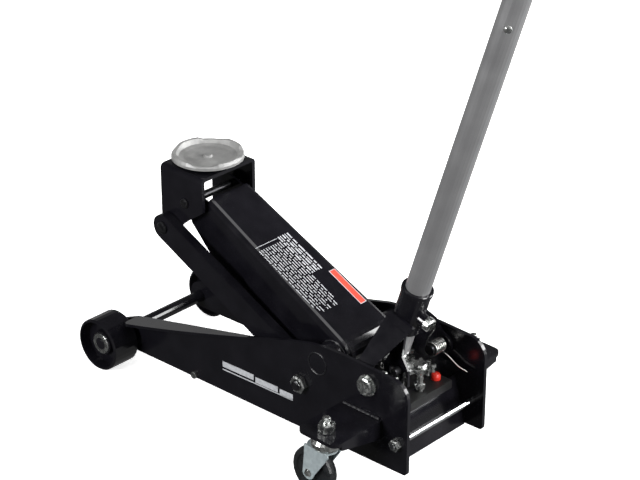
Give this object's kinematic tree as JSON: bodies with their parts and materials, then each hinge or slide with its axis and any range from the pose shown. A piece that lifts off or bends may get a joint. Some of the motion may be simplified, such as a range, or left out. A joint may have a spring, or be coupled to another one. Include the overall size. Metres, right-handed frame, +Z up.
{
  "type": "hydraulic floor jack",
  "caption": "Hydraulic trolley jack: low steel chassis on rollers and swivel casters, parallelogram lifting arm with a round saddle, and a long pump handle in a pivoting socket.",
  "frame": {"origin": "on the floor, at the centre of the whole object's bounding box seen from above, with the handle in its upright pumping position", "axes": "+X towards the handle end (rear), +Y to the right-hand side seen from behind the handle looking forward, +Z up; the front rollers are at -X"},
  "size_m": [0.9532, 0.381, 1.338],
  "materials": {
    "black_gloss_paint": "gloss",
    "dark_cast_iron": "painted satin",
    "zinc_cast_saddle": "dull zinc plated",
    "zinc_plate": "bright zinc plated",
    "chrome_rod": "polished",
    "oiled_steel": "black oxide",
    "bright_spring_steel": "bright drawn wire",
    "silver_handle_paint": "silver satin",
    "black_rubber": "matt",
    "red_plastic": "gloss"
  },
  "bodies": {
    "chassis": {"side_plate_left": "black_gloss_paint", "side_plate_right": "black_gloss_paint", "rear_cross_plate": "black_gloss_paint", "rear_tie_rod": "chrome_rod", "tie_rod_nut_left": "zinc_plate", "tie_rod_nut_right": "zinc_plate", "front_tie_bolt": "zinc_plate", "front_axle": "black_gloss_paint", "axle_clip_left": "zinc_plate", "axle_clip_right": "zinc_plate", "main_pivot_shaft": "black_gloss_paint", "link_pivot_bolt_left": "oiled_steel", "link_pivot_bolt_right": "oiled_steel", "link_pivot_nut_left": "zinc_plate", "link_pivot_nut_right": "zinc_plate", "socket_pivot_bolt_left": "zinc_plate", "socket_pivot_bolt_right": "zinc_plate", "caster_bracket_left": "black_gloss_paint", "caster_bracket_right": "black_gloss_paint", "caster_kingpin_left": "zinc_plate", "caster_kingpin_right": "zinc_plate", "caster_nut_left": "zinc_plate", "caster_nut_right": "zinc_plate", "power_unit_block": "dark_cast_iron", "pump_sleeve": "zinc_plate", "filler_plug": "red_plastic", "return_spring_left": "bright_spring_steel", "return_spring_right": "bright_spring_steel"},
    "front_roller_left": {"front_roller_left": "black_gloss_paint"},
    "front_roller_right": {"front_roller_right": "black_gloss_paint"},
    "lift_arm": {"lift_arm": "black_gloss_paint", "arm_front_pin": "oiled_steel", "lever_pin": "oiled_steel", "lever_roller": "oiled_steel"},
    "link_left": {"link_left": "black_gloss_paint"},
    "link_right": {"link_right": "black_gloss_paint"},
    "saddle_bracket": {"saddle_bracket": "black_gloss_paint", "link_top_pin_left": "oiled_steel", "link_top_pin_right": "oiled_steel"},
    "saddle": {"saddle": "zinc_cast_saddle"},
    "ram": {"ram_piston": "chrome_rod"},
    "handle_socket": {"handle_socket": "black_gloss_paint", "socket_clamp_bolt": "zinc_plate", "pump_roller": "oiled_steel", "torsion_spring": "bright_spring_steel"},
    "handle": {"handle_lower_tube": "silver_handle_paint", "handle_upper_tube": "silver_handle_paint", "handle_joint_screw": "zinc_plate", "handle_grip": "black_rubber", "handle_gear": "zinc_plate"},
    "release_valve": {"release_valve": "zinc_plate"},
    "pump": {"pump_plunger": "zinc_plate", "pump_spring": "bright_spring_steel"},
    "caster_swivel_left": {"caster_fork_left": "zinc_plate", "caster_axle_left": "zinc_plate"},
    "caster_swivel_right": {"caster_fork_right": "zinc_plate", "caster_axle_right": "zinc_plate"},
    "caster_wheel_left": {"caster_wheel_left": "black_rubber"},
    "caster_wheel_right": {"caster_wheel_right": "black_rubber"}
  },
  "joints": [
    {"name": "lift", "type": "hinge", "parent": "chassis", "child": "lift_arm", "pos_m": [0.00207, 0, 0.1576], "axis": [0, 1, 0], "range_deg": [-38, 19], "deforming": ["return_spring_left", "return_spring_right"]},
    {"name": "bracket_level", "type": "hinge", "parent": "lift_arm", "child": "saddle_bracket", "pos_m": [-0.31053, 0, 0.30777], "axis": [0, 1, 0], "range_deg": [-19, 38]},
    {"name": "link_left_swing", "type": "hinge", "parent": "chassis", "child": "link_left", "pos_m": [-0.03173, -0.0678, 0.1106], "axis": [0, 1, 0], "range_deg": [-38, 19]},
    {"name": "link_right_swing", "type": "hinge", "parent": "chassis", "child": "link_right", "pos_m": [-0.03173, 0.0678, 0.1106], "axis": [0, 1, 0], "range_deg": [-38, 19]},
    {"name": "saddle_turn", "type": "hinge", "parent": "saddle_bracket", "child": "saddle", "pos_m": [-0.31663, 0, 0.36], "axis": [0, 0, 1], "continuous": true},
    {"name": "ram_stroke", "type": "slide", "parent": "chassis", "child": "ram", "axis": [-1, 0, 0], "range_m": [-0.0382, 0.0192]},
    {"name": "pump_swing", "type": "hinge", "parent": "chassis", "child": "handle_socket", "pos_m": [0.10337, 0, 0.162], "axis": [0, 1, 0], "range_deg": [0, 58], "stiffness_Nm_per_rad": 10, "springref_deg": -63.03, "deforming": ["torsion_spring"]},
    {"name": "handle_twist", "type": "hinge", "parent": "handle_socket", "child": "handle", "pos_m": [0.07836, 0, 0.17014], "axis": [0.3097, 0, 0.9508], "range_deg": [0, 90]},
    {"name": "valve_turn", "type": "hinge", "parent": "chassis", "child": "release_valve", "pos_m": [0.12537, 0, 0.162], "axis": [0, 0, 1], "range_deg": [-108, 0]},
    {"name": "pump_stroke", "type": "slide", "parent": "chassis", "child": "pump", "axis": [0, 0, -1], "range_m": [0, 0.012], "deforming": ["pump_spring"]},
    {"name": "front_roller_left_spin", "type": "hinge", "parent": "chassis", "child": "front_roller_left", "pos_m": [-0.43263, -0.123, 0.044], "axis": [0, 1, 0], "continuous": true},
    {"name": "front_roller_right_spin", "type": "hinge", "parent": "chassis", "child": "front_roller_right", "pos_m": [-0.43263, 0.123, 0.044], "axis": [0, 1, 0], "continuous": true},
    {"name": "caster_left_swivel", "type": "hinge", "parent": "chassis", "child": "caster_swivel_left", "pos_m": [0.09237, -0.167, 0.092], "axis": [0, 0, 1], "continuous": true},
    {"name": "caster_left_spin", "type": "hinge", "parent": "caster_swivel_left", "child": "caster_wheel_left", "pos_m": [0.06897, -0.167, 0.0382], "axis": [0, 1, 0], "continuous": true},
    {"name": "caster_right_swivel", "type": "hinge", "parent": "chassis", "child": "caster_swivel_right", "pos_m": [0.09237, 0.167, 0.092], "axis": [0, 0, 1], "continuous": true},
    {"name": "caster_right_spin", "type": "hinge", "parent": "caster_swivel_right", "child": "caster_wheel_right", "pos_m": [0.06897, 0.167, 0.0382], "axis": [0, 1, 0], "continuous": true}
  ],
  "couplings": [
    {"joint": "bracket_level", "follows": "lift", "ratio": -1},
    {"joint": "link_left_swing", "follows": "lift", "ratio": 1},
    {"joint": "link_right_swing", "follows": "lift", "ratio": 1},
    {"joint": "ram_stroke", "follows": "lift", "m_per_rad": 0.0574},
    {"joint": "valve_turn", "follows": "handle_twist", "ratio": -1.2},
    {"joint": "pump_stroke", "follows": "pump_swing", "m_per_rad": 0.01149}
  ]
}
